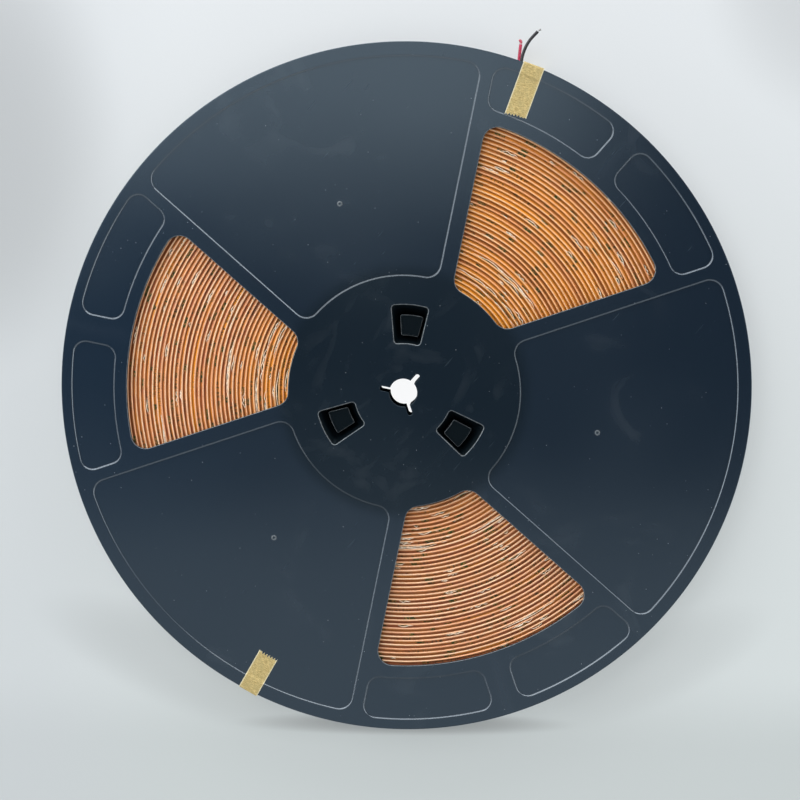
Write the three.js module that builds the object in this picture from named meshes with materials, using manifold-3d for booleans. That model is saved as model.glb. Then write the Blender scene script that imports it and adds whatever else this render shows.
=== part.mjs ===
// A 13 inch plastic reel wound with 10 mm LED strip light, lying flat on its rear flange.
// Millimetres and degrees, +Z up, origin on the reel's axis at the lowest face. +Y runs
// through the middle of one window, and angles are counted from +X seen from the front.
import * as THREE from 'three';
import { mergeVertices } from 'three/addons/utils/BufferGeometryUtils.js';
import Module from 'manifold-3d';

const wasm = await Module();
wasm.setup();

// Reel, both halves
const REEL_RADIUS = 165;
const WINDING_WIDTH = 11;
const FLANGE_THICKNESS = 2;
const RIM_CHAMFER = 0.4;
const DRUM_RADIUS = 50;
const DRUM_WALL = 2.2;
const BOSS_RADIUS = 15;
const REEL_SEGMENTS = 48;

// Windows: three, each between two lines that run parallel to radii 60 degrees apart
const SECTORS = 3;
const WINDOW_ANGLE = 90;
const SIDE_SPREAD = 30;
const WINDOW_FROM_DRUM = 5.3;
const WINDOW_FROM_RIM = 31.8;
const WINDOW_SIDE = 13;
const WINDOW_CORNER = 7;
const WINDOW_STEPS = 6;
const CORNER_STEPS = 3;

// Recessed panels in the outer faces: a long one on each spoke, two short ones past each window
const PANEL_DEPTH = 0.5;
const PANEL_DRAFT = 0.65;
const SPOKE_PANEL_FROM_DRUM = 5.6;
const SPOKE_PANEL_FROM_RIM = 6.2;
const SPOKE_RIB = 7.1;
const SPOKE_PANEL_CORNER = 7;
const SPOKE_PANEL_STEPS = 8;
const RIM_PANEL_FROM_WINDOW = 5.9;
const RIM_PANEL_FROM_RIM = 4.8;
const RIM_PANEL_RIB = 5.3;
const RIM_PANEL_GAP = 12.4;
const RIM_PANEL_CORNER = 6.2;
const RIM_PANEL_STEPS = 4;

// Arbor hole with three key slots
const ARBOR_RADIUS = 6.7;
const KEY_WIDTH = 2.3;
const KEY_REACH = 11.4;
const KEY_STEPS = 6;
const ARBOR_STEPS = 7;

// Hub sockets and posts: each half has three funnel sockets, and three posts that stand in
// the other half's sockets
const SOCKET_ANGLE = 6.8;
const SOCKET_FROM_AXIS = 23.7;
const SOCKET_FROM_DRUM = 8;
const SOCKET_FLARE = 9.2;
const SOCKET_SIDE = 2.25;
const SOCKET_CORNER = 1.6;
const SOCKET_WALL = 1.6;
const SOCKET_DEPTH = 6.5;
const POST_ANGLE = 5;
const POST_MARGIN_INNER = 3.7;
const POST_MARGIN_OUTER = 4.8;
const POST_SIDE = 2.65;
const POST_CORNER = 0.8;
const POST_DRAFT = 0.3;
const POST_BELOW_FACE = 1.5;
const POST_DISH_DEPTH = 0.35;
const POST_DISH_RIM = 0.7;
const FITTING_STEPS = 2;

// LED strip roll
const STRIP_WIDTH = 10;
const TURN_PITCH = 2.04;
const GROOVE_DEPTH = 1;
const GROOVE_SHARE = 0.85;
const ROLL_FROM_RIM = 22.2;
const STRIP_END_ANGLE = 60;
const STEPS_PER_TURN = 20;

// Masking tape, two pieces folded over the rim. The upper one ends at its panel's inner wall.
const TAPE_THICKNESS = 0.2;
const TAPE_END_GAP = 0.4;
const UPPER_TAPE = { angle: 111.4, aside: -4.7, width: 10.3 };
const LOWER_TAPE = { angle: 281.9, aside: 6.4, width: 10, reach: 20.8 };

// Leads of the strip's outer end
const LEAD_DIAMETER = 1.5;
const CONDUCTOR_DIAMETER = 0.7;
const LEAD_SIDES = 6;
const LEAD_STEPS = 28;
const TIP_STEPS = 4;
const PAD_SPACING = 4.4;
const JOINT_LENGTH = 3;
const JOINT_WIDTH = 1.8;
const JOINT_HEIGHT = 0.9;

// Clearances
const SEAT_GAP = 0.3;
const CUT_MARGIN = 1;
const WELD_DISTANCE = 1e-4;

const HALF_WIDTH = WINDING_WIDTH / 2;
const HALF_HEIGHT = HALF_WIDTH + FLANGE_THICKNESS;
const ROOT_Z = HALF_WIDTH + FLANGE_THICKNESS / 2;
const MIDDLE_Z = TAPE_THICKNESS + HALF_HEIGHT;
const SECTOR_STEP = 360 / SECTORS;
const WINDOW_INNER = DRUM_RADIUS + WINDOW_FROM_DRUM;
const WINDOW_OUTER = REEL_RADIUS - WINDOW_FROM_RIM;
const SPOKE_PANEL_OUTER = REEL_RADIUS - SPOKE_PANEL_FROM_RIM;
const RIM_PANEL_INNER = WINDOW_OUTER + RIM_PANEL_FROM_WINDOW;
const RIM_PANEL_OUTER = REEL_RADIUS - RIM_PANEL_FROM_RIM;
const UPPER_TAPE_REACH = REEL_RADIUS - RIM_PANEL_INNER - PANEL_DRAFT - TAPE_END_GAP;

// The leads' routes, from the soldered end of the strip along the outer turn, between the
// flanges and out over the rim. Heights are counted from the reel's middle plane.
const RED_LEAD_ROUTE = [
  [71.5, 124.2, -2.2], [69.1, 126.0, -2.2], [63.0, 129.1, -2.1], [53.6, 132.8, -1.9],
  [34.5, 138.6, -1.5], [14.9, 141.8, -1.3], [0.0, 142.6, -1.2], [-14.9, 142.0, -1.2],
  [-24.9, 141.0, -1.2], [-35.0, 140.3, -1.2], [-43.4, 141.2, -1.2], [-51.0, 144.0, -1.2],
  [-57.6, 148.2, -1.2], [-62.9, 153.2, -1.2], [-65.3, 156.4, -1.2], [-67.5, 159.5, -1.2],
];
const BLACK_LEAD_ROUTE = [
  [71.5, 124.2, 2.2], [69.1, 126.0, 2.2], [63.0, 129.1, 2.1], [53.6, 132.8, 1.9],
  [34.5, 138.6, 1.5], [14.9, 141.8, 1.3], [0.0, 142.6, 1.2], [-14.9, 142.0, 1.2],
  [-24.9, 141.0, 1.2], [-35.0, 140.3, 1.2], [-43.2, 141.3, 1.2], [-50.4, 144.1, 1.2],
  [-56.7, 148.4, 1.2], [-61.8, 153.6, 1.2], [-64.3, 158.5, 1.2], [-65.4, 163.4, 1.2],
  [-65.3, 168.9, 1.2],
];
const RED_TIP_ROUTE = [
  [-67.7, 159.8, -1.2], [-68.2, 160.5, -1.2], [-68.8, 160.7, -1.2], [-69.1, 160.1, -1.2],
];
const BLACK_TIP_ROUTE = [
  [-65.3, 169.2, 1.2], [-65.1, 170.0, 1.2], [-64.8, 170.8, 1.2],
];

const MATERIALS = {
  reel: new THREE.MeshStandardMaterial({ color: 0x232b33, roughness: 0.42, metalness: 0 }),
  strip: new THREE.MeshStandardMaterial({ color: 0xd98a4e, roughness: 0.55, metalness: 0 }),
  tape: new THREE.MeshStandardMaterial({ color: 0xcdb97f, roughness: 0.85, metalness: 0 }),
  redLead: new THREE.MeshStandardMaterial({ color: 0xb81f45, roughness: 0.5, metalness: 0 }),
  blackLead: new THREE.MeshStandardMaterial({ color: 0x1c1c1f, roughness: 0.5, metalness: 0 }),
  tin: new THREE.MeshStandardMaterial({ color: 0xb9bcc0, roughness: 0.35, metalness: 1 }),
};

const radians = THREE.MathUtils.degToRad;

function unit(angle) {
  return new THREE.Vector2(Math.cos(radians(angle)), Math.sin(radians(angle)));
}

function polar(point) {
  return THREE.MathUtils.radToDeg(Math.atan2(point.y, point.x));
}

// Angle moved by whole turns until it is the next one at or past another
function after(angle, start) {
  return start + THREE.MathUtils.euclideanModulo(angle - start, 360);
}

function arc(centre, radius, from, to, steps) {
  const points = [];
  for (let i = 0; i <= steps; i += 1) {
    const angle = from + ((to - from) * i) / steps;
    points.push(unit(angle).multiplyScalar(radius).add(centre));
  }
  return points;
}

// Centre of the fillet between a side line and an arc about the axis
function filletCentre(angle, turn, aside, reach) {
  const along = Math.sqrt(reach * reach - aside * aside);
  const centre = unit(angle).multiplyScalar(along);
  return centre.add(unit(angle + 90 * turn).multiplyScalar(aside));
}

// Outline of a sector about the axis, counter-clockwise, with rounded corners. Its sides are
// lines parallel to the radii at `from` and `to`, each moved inwards by its own distance.
// A positive inset draws the whole outline in.
const MIN_CORNER = 0.2;
function sectorOutline(shape, inset = 0) {
  const { inner, outer, from, fromSide, to, toSide, corner, steps, cornerSteps } = shape;
  const r = Math.max(corner - inset, MIN_CORNER);
  const low = inner + inset + r;
  const high = outer - inset - r;
  const origin = new THREE.Vector2();
  const a = fromSide + inset + r;
  const b = toSide + inset + r;
  const outerA = filletCentre(from, 1, a, high);
  const outerB = filletCentre(to, -1, b, high);
  const innerB = filletCentre(to, -1, b, low);
  const innerA = filletCentre(from, 1, a, low);
  const startA = polar(outerA);
  const startB = after(polar(outerB), startA);
  const endB = after(polar(innerB), startA - 90);
  const endA = after(polar(innerA), startA - 90);
  return [
    ...arc(outerA, r, from - 90, after(startA, from - 90), cornerSteps),
    ...arc(origin, outer - inset, startA, startB, steps).slice(1, -1),
    ...arc(outerB, r, startB, after(to + 90, startB), cornerSteps),
    ...arc(innerB, r, to + 90, after(endB + 180, to + 90), cornerSteps),
    ...arc(origin, inner + inset, endB, endA, steps).slice(1, -1),
    ...arc(innerA, r, endA + 180, after(from - 90, endA + 180), cornerSteps),
  ];
}

function mixOutlines(first, second, share) {
  return first.map((point, i) => point.clone().lerp(second[i], share));
}

// Closed mesh through outlines with equal point counts, from the lowest up
function loft(sections) {
  const count = sections[0].outline.length;
  const positions = [];
  for (const { outline, z } of sections) {
    for (const point of outline) {
      positions.push(point.x, point.y, z);
    }
  }
  const index = [];
  for (let s = 0; s + 1 < sections.length; s += 1) {
    for (let i = 0; i < count; i += 1) {
      const j = (i + 1) % count;
      const low = s * count;
      const high = low + count;
      index.push(low + i, low + j, high + j, low + i, high + j, high + i);
    }
  }
  const top = (sections.length - 1) * count;
  for (const [a, b, c] of THREE.ShapeUtils.triangulateShape(sections[0].outline, [])) {
    index.push(a, c, b);
  }
  for (const [a, b, c] of THREE.ShapeUtils.triangulateShape(sections.at(-1).outline, [])) {
    index.push(top + a, top + b, top + c);
  }
  return meshGeometry(positions, index);
}

function meshGeometry(positions, index) {
  const geometry = new THREE.BufferGeometry();
  geometry.setAttribute('position', new THREE.Float32BufferAttribute(positions, 3));
  geometry.setIndex(index);
  return geometry;
}

// Conversions to and from the boolean library's solids
function solid(geometry) {
  geometry.deleteAttribute('normal');
  geometry.deleteAttribute('uv');
  const merged = mergeVertices(geometry, WELD_DISTANCE);
  return new wasm.Manifold(new wasm.Mesh({
    numProp: 3,
    vertProperties: new Float32Array(merged.attributes.position.array),
    triVerts: new Uint32Array(merged.index.array),
  }));
}

function geometryOf(body) {
  const mesh = body.getMesh();
  const geometry = meshGeometry(Array.from(mesh.vertProperties), Array.from(mesh.triVerts));
  geometry.computeVertexNormals();
  return geometry;
}

// Sizes of the cut-outs and of the hub's fittings, each in its first place
function windowShape() {
  return {
    inner: WINDOW_INNER,
    outer: WINDOW_OUTER,
    from: WINDOW_ANGLE - SIDE_SPREAD,
    fromSide: WINDOW_SIDE,
    to: WINDOW_ANGLE + SIDE_SPREAD,
    toSide: WINDOW_SIDE,
    corner: WINDOW_CORNER,
    steps: WINDOW_STEPS,
    cornerSteps: CORNER_STEPS,
  };
}

function spokePanelShape() {
  const side = SPOKE_RIB - WINDOW_SIDE;
  return {
    inner: DRUM_RADIUS + SPOKE_PANEL_FROM_DRUM,
    outer: SPOKE_PANEL_OUTER,
    from: WINDOW_ANGLE + SIDE_SPREAD,
    fromSide: side,
    to: WINDOW_ANGLE + SECTOR_STEP - SIDE_SPREAD,
    toSide: side,
    corner: SPOKE_PANEL_CORNER,
    steps: SPOKE_PANEL_STEPS,
    cornerSteps: CORNER_STEPS,
  };
}

function rimPanelShapes() {
  const rimPanel = {
    inner: RIM_PANEL_INNER,
    outer: RIM_PANEL_OUTER,
    corner: RIM_PANEL_CORNER,
    steps: RIM_PANEL_STEPS,
    cornerSteps: CORNER_STEPS,
  };
  const outerSide = WINDOW_SIDE - SPOKE_RIB + RIM_PANEL_RIB;
  const middleSide = RIM_PANEL_GAP / 2;
  return [
    {
      ...rimPanel,
      from: WINDOW_ANGLE - SIDE_SPREAD,
      fromSide: outerSide,
      to: WINDOW_ANGLE,
      toSide: middleSide,
    },
    {
      ...rimPanel,
      from: WINDOW_ANGLE,
      fromSide: middleSide,
      to: WINDOW_ANGLE + SIDE_SPREAD,
      toSide: outerSide,
    },
  ];
}

function flared(angle, inner, outer, side, corner) {
  return {
    inner,
    outer,
    from: angle - SOCKET_FLARE,
    fromSide: -side,
    to: angle + SOCKET_FLARE,
    toSide: -side,
    corner,
    steps: FITTING_STEPS,
    cornerSteps: FITTING_STEPS,
  };
}

function socketShape() {
  const outer = DRUM_RADIUS - SOCKET_FROM_DRUM;
  return flared(SOCKET_ANGLE, SOCKET_FROM_AXIS, outer, SOCKET_SIDE, SOCKET_CORNER);
}

// The tip of a post, at the socket that it stands in or, mirrored, on its own half
function postShape(angle) {
  const inner = SOCKET_FROM_AXIS + POST_MARGIN_INNER;
  const outer = DRUM_RADIUS - SOCKET_FROM_DRUM - POST_MARGIN_OUTER;
  return flared(angle, inner, outer, SOCKET_SIDE - POST_SIDE, POST_CORNER);
}

const POST_TIP_Z = POST_BELOW_FACE - HALF_HEIGHT;
const THROAT_Z = HALF_HEIGHT - SOCKET_DEPTH;

// How much wider than its tip a post is at a height in its own half
function postSpread(z) {
  return (POST_DRAFT * (z - POST_TIP_Z)) / (HALF_WIDTH - POST_TIP_Z);
}

// One half of the reel about its own middle plane, with its outer face up
function revolvedHalf() {
  const profile = [
    [0, 0],
    [BOSS_RADIUS, 0],
    [BOSS_RADIUS, HALF_WIDTH],
    [DRUM_RADIUS - DRUM_WALL, HALF_WIDTH],
    [DRUM_RADIUS - DRUM_WALL, 0],
    [DRUM_RADIUS, 0],
    [DRUM_RADIUS, HALF_WIDTH],
    [REEL_RADIUS, HALF_WIDTH],
    [REEL_RADIUS, HALF_HEIGHT - RIM_CHAMFER],
    [REEL_RADIUS - RIM_CHAMFER, HALF_HEIGHT],
    [0, HALF_HEIGHT],
  ];
  const points = profile.map(([r, z]) => new THREE.Vector2(r, z));
  return solid(new THREE.LatheGeometry(points, REEL_SEGMENTS).rotateX(Math.PI / 2));
}

function panelCutter(shape) {
  const slope = PANEL_DRAFT / PANEL_DEPTH;
  return solid(loft([
    { outline: sectorOutline(shape, PANEL_DRAFT), z: HALF_HEIGHT - PANEL_DEPTH },
    { outline: sectorOutline(shape, -slope * CUT_MARGIN), z: HALF_HEIGHT + CUT_MARGIN },
  ]));
}

function windowCutter() {
  const outline = sectorOutline(windowShape());
  return solid(loft([
    { outline, z: HALF_WIDTH - CUT_MARGIN },
    { outline, z: HALF_HEIGHT + CUT_MARGIN },
  ]));
}

// Arbor hole: a circle broken by slots with round ends
function arborCutter() {
  const tip = KEY_WIDTH / 2;
  const half = THREE.MathUtils.radToDeg(Math.asin(tip / ARBOR_RADIUS));
  const origin = new THREE.Vector2();
  const outline = [];
  for (let k = 0; k < SECTORS; k += 1) {
    const angle = WINDOW_ANGLE + k * SECTOR_STEP;
    const centre = unit(angle).multiplyScalar(KEY_REACH - tip);
    outline.push(...arc(centre, tip, angle - 90, angle + 90, KEY_STEPS));
    const next = angle + SECTOR_STEP - half;
    outline.push(...arc(origin, ARBOR_RADIUS, angle + half, next, ARBOR_STEPS));
  }
  return solid(loft([
    { outline, z: -CUT_MARGIN },
    { outline, z: HALF_HEIGHT + CUT_MARGIN },
  ]));
}

// The post of the other half fits the throat at the foot of the funnel
function throatOutline(inset) {
  return sectorOutline(postShape(POST_ANGLE), inset - postSpread(-THROAT_Z) - SEAT_GAP);
}

function socketCollar() {
  const mouth = sectorOutline(socketShape(), -SOCKET_WALL);
  const throat = throatOutline(-SOCKET_WALL);
  const share = (HALF_HEIGHT - ROOT_Z) / SOCKET_DEPTH;
  return solid(loft([
    { outline: throat, z: THROAT_Z },
    { outline: mixOutlines(mouth, throat, share), z: ROOT_Z },
  ]));
}

function socketCutter() {
  const mouth = sectorOutline(socketShape());
  const throat = throatOutline(0);
  return solid(loft([
    { outline: throat, z: THROAT_Z - CUT_MARGIN },
    { outline: throat, z: THROAT_Z },
    { outline: mouth, z: HALF_HEIGHT },
    { outline: mouth, z: HALF_HEIGHT + CUT_MARGIN },
  ]));
}

function post() {
  const shape = postShape(180 - POST_ANGLE);
  const body = solid(loft([
    { outline: sectorOutline(shape), z: POST_TIP_Z },
    { outline: sectorOutline(shape, -postSpread(ROOT_Z)), z: ROOT_Z },
  ]));
  const dish = sectorOutline(shape, POST_DISH_RIM);
  return body.subtract(solid(loft([
    { outline: dish, z: POST_TIP_Z - CUT_MARGIN },
    { outline: dish, z: POST_TIP_Z + POST_DISH_DEPTH },
  ])));
}

function reelHalf() {
  let half = revolvedHalf();
  const cuts = [windowCutter(), panelCutter(spokePanelShape())];
  cuts.push(...rimPanelShapes().map(panelCutter));
  for (let k = 0; k < SECTORS; k += 1) {
    const turn = [0, 0, k * SECTOR_STEP];
    half = half.add(socketCollar().rotate(turn)).add(post().rotate(turn));
    half = half.subtract(socketCutter().rotate(turn));
    for (const cut of cuts) {
      half = half.subtract(cut.rotate(turn));
    }
  }
  return geometryOf(half.subtract(arborCutter()));
}

// The wound strip: one ridge that spirals outwards counter-clockwise on both faces, with
// the strip's edge as its crest and a long slope down to a groove beside the next turn
const ROLL_INNER = (DRUM_RADIUS + SEAT_GAP) / Math.cos(Math.PI / STEPS_PER_TURN);
const ROLL_SPAN = REEL_RADIUS - ROLL_FROM_RIM - ROLL_INNER;
const TURNS = Math.floor(ROLL_SPAN / TURN_PITCH) - 1;

function rollRadius(step) {
  return ROLL_INNER + (TURN_PITCH * step) / STEPS_PER_TURN;
}

function rollPoint(step, radius) {
  return unit(STRIP_END_ANGLE + (360 * step) / STEPS_PER_TURN).multiplyScalar(radius);
}

function rollGeometry() {
  const steps = TURNS * STEPS_PER_TURN;
  const bottom = -HALF_WIDTH + SEAT_GAP;
  const top = bottom + STRIP_WIDTH;
  const positions = [];
  const crests = steps + STEPS_PER_TURN + 1;
  const addRow = (count, outwards, low, high) => {
    for (let i = 0; i < count; i += 1) {
      const point = rollPoint(i, rollRadius(i) + outwards);
      positions.push(point.x, point.y, low, point.x, point.y, high);
    }
  };
  addRow(crests, 0, bottom, top);
  addRow(steps + 1, TURN_PITCH * GROOVE_SHARE, bottom + GROOVE_DEPTH, top - GROOVE_DEPTH);
  const crest = (i, face) => 2 * i + face;
  const groove = (i, face) => 2 * (crests + i) + face;
  const index = [];
  const quad = (a, b, c, d) => index.push(a, b, c, a, c, d);
  const N = STEPS_PER_TURN;
  for (let i = 0; i < steps; i += 1) {
    quad(crest(i, 1), groove(i, 1), groove(i + 1, 1), crest(i + 1, 1));
    quad(groove(i, 1), crest(i + N, 1), crest(i + N + 1, 1), groove(i + 1, 1));
    quad(crest(i, 0), crest(i + 1, 0), groove(i + 1, 0), groove(i, 0));
    quad(groove(i, 0), groove(i + 1, 0), crest(i + N + 1, 0), crest(i + N, 0));
  }
  for (let i = 0; i < N; i += 1) {
    const j = steps + i;
    quad(crest(i, 0), crest(i, 1), crest(i + 1, 1), crest(i + 1, 0));
    quad(crest(j, 0), crest(j + 1, 0), crest(j + 1, 1), crest(j, 1));
  }
  quad(crest(0, 0), groove(0, 0), groove(0, 1), crest(0, 1));
  quad(groove(0, 0), crest(N, 0), crest(N, 1), groove(0, 1));
  quad(crest(steps, 1), groove(steps, 1), groove(steps, 0), crest(steps, 0));
  quad(groove(steps, 1), crest(steps + N, 1), crest(steps + N, 0), groove(steps, 0));
  const geometry = meshGeometry(positions, index);
  geometry.computeVertexNormals();
  return geometry;
}

// A strip of tape folded over the rim onto both outer faces, dipping into the panels there
function tapeGeometry({ aside, width }, reach, panelOuter) {
  const farSide = Math.abs(aside) + width / 2;
  const web = REEL_RADIUS + SEAT_GAP;
  const inner = REEL_RADIUS - reach;
  const step = Math.sqrt(panelOuter * panelOuter - farSide * farSide) - SEAT_GAP;
  const foot = step - PANEL_DRAFT;
  const floor = HALF_HEIGHT - PANEL_DEPTH;
  const t = TAPE_THICKNESS;
  const front = [
    [inner, floor], [foot, floor], [step, HALF_HEIGHT], [web, HALF_HEIGHT],
  ];
  const outside = [
    [web + t, HALF_HEIGHT + t], [step, HALF_HEIGHT + t], [foot, floor + t], [inner, floor + t],
  ];
  const back = (points) => points.map(([u, z]) => [u, -z]).reverse();
  const section = [...front, ...back(front), ...back(outside), ...outside];
  const shape = new THREE.Shape(section.map(([u, z]) => new THREE.Vector2(u, z)));
  const geometry = new THREE.ExtrudeGeometry(shape, { depth: width, bevelEnabled: false });
  return geometry.translate(0, 0, -aside - width / 2).rotateX(Math.PI / 2);
}

// Round wire along a list of points
function wireGeometry(route, diameter, steps) {
  const points = route.map(([x, y, z]) => new THREE.Vector3(x, y, z));
  const section = new THREE.Shape(arc(
    new THREE.Vector2(), diameter / 2, 0, 360 - 360 / LEAD_SIDES, LEAD_SIDES - 1,
  ));
  return new THREE.ExtrudeGeometry(section, {
    steps,
    bevelEnabled: false,
    extrudePath: new THREE.CatmullRomCurve3(points, false, 'centripetal'),
  });
}

// Solder on one pad at the strip's outer end, lying along the last facet of the outer turn
function solderJoint(name, z) {
  const last = (TURNS + 1) * STEPS_PER_TURN;
  const end = rollPoint(last, rollRadius(last));
  const before = rollPoint(last - 1, rollRadius(last - 1));
  const along = end.clone().sub(before).normalize();
  const outwards = new THREE.Vector2(along.y, -along.x);
  const place = end.addScaledVector(along, -JOINT_LENGTH / 2);
  place.addScaledVector(outwards, SEAT_GAP + JOINT_HEIGHT / 2);
  const box = new THREE.BoxGeometry(JOINT_LENGTH, JOINT_HEIGHT, JOINT_WIDTH);
  const mesh = named(name, box, MATERIALS.tin);
  mesh.position.set(place.x, place.y, z);
  mesh.rotation.z = Math.atan2(along.y, along.x);
  return mesh;
}

function named(name, geometry, material) {
  const mesh = new THREE.Mesh(geometry, material);
  mesh.name = name;
  return mesh;
}

function reel() {
  const half = reelHalf();
  const front = named('front_flange', half, MATERIALS.reel);
  const rear = named('rear_flange', half.clone(), MATERIALS.reel.clone());
  rear.rotation.y = Math.PI;
  return [front, rear];
}

function tapes() {
  const upper = tapeGeometry(UPPER_TAPE, UPPER_TAPE_REACH, RIM_PANEL_OUTER);
  const lower = tapeGeometry(LOWER_TAPE, LOWER_TAPE.reach, SPOKE_PANEL_OUTER);
  const meshes = [
    named('upper_tape', upper, MATERIALS.tape),
    named('lower_tape', lower, MATERIALS.tape.clone()),
  ];
  meshes[0].rotation.z = radians(UPPER_TAPE.angle);
  meshes[1].rotation.z = radians(LOWER_TAPE.angle);
  return meshes;
}

function leads() {
  const wire = (name, route, material) => (
    named(name, wireGeometry(route, LEAD_DIAMETER, LEAD_STEPS), material)
  );
  const tip = (name, route) => (
    named(name, wireGeometry(route, CONDUCTOR_DIAMETER, TIP_STEPS), MATERIALS.tin.clone())
  );
  return [
    wire('red_lead', RED_LEAD_ROUTE, MATERIALS.redLead),
    wire('black_lead', BLACK_LEAD_ROUTE, MATERIALS.blackLead),
    tip('red_lead_tip', RED_TIP_ROUTE),
    tip('black_lead_tip', BLACK_TIP_ROUTE),
    solderJoint('red_solder_joint', -PAD_SPACING / 2),
    solderJoint('black_solder_joint', PAD_SPACING / 2),
  ];
}

const group = new THREE.Group();
group.position.z = MIDDLE_Z;
group.add(...reel());
group.add(named('led_strip_roll', rollGeometry(), MATERIALS.strip));
group.add(...tapes());
group.add(...leads());

export default group;
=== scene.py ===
"""Looks of a 13 inch plastic reel wound with 10 mm LED strip light.

The reel lies flat with its front up. Shapes are worked out in millimetres about the reel's
axis and its middle plane, as the CAD source does, and turned into metres when a mesh is made.
"""
import cmath
import math
import random

import bpy
import numpy as np
from mathutils import Matrix, Vector
from mathutils.geometry import delaunay_2d_cdt


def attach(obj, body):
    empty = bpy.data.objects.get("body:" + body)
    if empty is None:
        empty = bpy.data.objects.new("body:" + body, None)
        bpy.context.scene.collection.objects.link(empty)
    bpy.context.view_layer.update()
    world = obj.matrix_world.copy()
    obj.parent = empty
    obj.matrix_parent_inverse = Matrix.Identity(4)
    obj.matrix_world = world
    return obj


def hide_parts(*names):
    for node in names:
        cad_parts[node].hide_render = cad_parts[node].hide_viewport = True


MM = 0.001

# Stage: the share of the floor's tone that glows as painted light, and the strength of the world's
# light
FLOOR_GLOW_SHARE = 0.55
WALLS_LEVEL = 1.1
ROOM_LEVEL = 0.065
BACKDROP_LEVEL = 0.72
FLOOR_HALF_SIDE = 4

# Reel, both halves
REEL_RADIUS = 165
WINDING_WIDTH = 11
FLANGE_THICKNESS = 2
DRUM_RADIUS = 50
DRUM_WALL = 2.2
BOSS_RADIUS = 15
RIM_ROUND = 0.45
INNER_ROUND = 0.2
SECTORS = 3
SECTOR_STEP = 360 / SECTORS

# Windows and recessed panels
WINDOW_ANGLE = 90
SIDE_SPREAD = 30
WINDOW_INNER = 55.3
WINDOW_OUTER = 133.2
WINDOW_SIDE = 13
WINDOW_CORNER = 7
EDGE_ROUND = 0.28
MOUTH_ROUND = 0.4
PANEL_DEPTH = 0.5
PANEL_DRAFT = 0.65
PANEL_ROUND = 0.03
SPOKE_PANEL_INNER = 55.6
SPOKE_PANEL_OUTER = 158.8
SPOKE_RIB = 7.1
SPOKE_PANEL_CORNER = 7
RIM_PANEL_INNER = 139.1
RIM_PANEL_OUTER = 160.2
RIM_PANEL_RIB = 5.3
RIM_PANEL_GAP = 12.4
RIM_PANEL_CORNER = 6.2

# Arbor hole, hub sockets and posts
ARBOR_RADIUS = 6.7
KEY_WIDTH = 2.3
KEY_REACH = 11.4
SOCKET_ANGLE = 6.8
SOCKET_INNER = 23.7
SOCKET_OUTER = 42
SOCKET_FLARE = 9.2
SOCKET_SIDE = 2.25
SOCKET_CORNER = 1.6
SOCKET_WALL = 1.6
SOCKET_DEPTH = 6.5
POST_ANGLE = 5
POST_INNER = 27.4
POST_OUTER = 37.2
POST_SIDE = 2.65
POST_CORNER = 0.8
POST_DRAFT = 0.3
POST_BELOW_FACE = 1.5
POST_DISH_DEPTH = 0.35
POST_DISH_RIM = 0.7
POST_ROUND = 0.15

# Marks of the mould: one gate on each spoke, in rows of radius and height as shares
GATE_FROM_AXIS = 94.5
GATE_RADIUS = 1.3
GATE_HEIGHT = 0.12
GATE_LIFT = 0.02
GATE_ROWS = [(1.0, 0.0), (0.85, 0.7), (0.7, 1.0), (0.5, 0.9),
             (0.4, -0.1), (0.15, -0.1), (0.02, -0.1)]

# LED strip roll
STRIP_WIDTH = 10
TURN_PITCH = 2.04
TURNS = 45
ROLL_INNER = 50.93
STRIP_END_ANGLE = 60
RIBBON_THICKNESS = 0.62
RIBBON_SOFT = 0.14
STEPS_PER_TURN = 144

# Phosphor bead between two turns: share of the gap, and depth below the strip's edge
BEAD_ROWS = [(0.0, 0.50), (0.25, 0.55), (0.5, 0.85), (0.62, 1.15),
             (0.75, 1.1), (0.88, 0.7), (1.0, 0.55)]
BEAD_START = 0.02

# Lacquered parts along the strip, with the least and most of each size
PART_SPACING = 32
PART_MARGIN = 20.0
PART_SHARE = 0.8
PART_LENGTH = (1.6, 5.5)
PART_WIDTH = (0.5, 1.2)
PART_DEPTH = (0.25, 0.7)
PART_HEIGHT = 0.6

# Folds of clear film, more and longer ones on the crowded inner turns
FOLD_SPACING = 85
FOLD_MARGIN = (90.0, 80)
CROWDED_TURNS = 12
LONG_FOLD = (14, 40)
SHORT_FOLD = (3, 11)
FOLD_SPREAD = (0.25, 0.8)
FOLD_MIDDLE = 0.55
FOLD_TALL = 0.16
FOLD_SIDES = ((-1, 1), (-1, 1), (1,), (-1,), (-1, 0, 1), (0,))

# Masking tape
TAPE_THICKNESS = 0.2
UPPER_TAPE = {"angle": 111.4, "aside": -4.7, "width": 10.3, "reach": 24.85, "skew": 1.2}
LOWER_TAPE = {"angle": 281.9, "aside": 6.4, "width": 10, "reach": 20.8, "skew": 0.0}
TEETH = 7
TOOTH_DEPTH = 1.7
TAPE_ROW = 0.35
TAPE_COLUMNS = 60
TAPE_BEND = 0.9
CREPE_DEPTH = 0.035
UNDERSIDE = TAPE_THICKNESS - 0.04
CUT_FADE = 3.0

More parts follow.
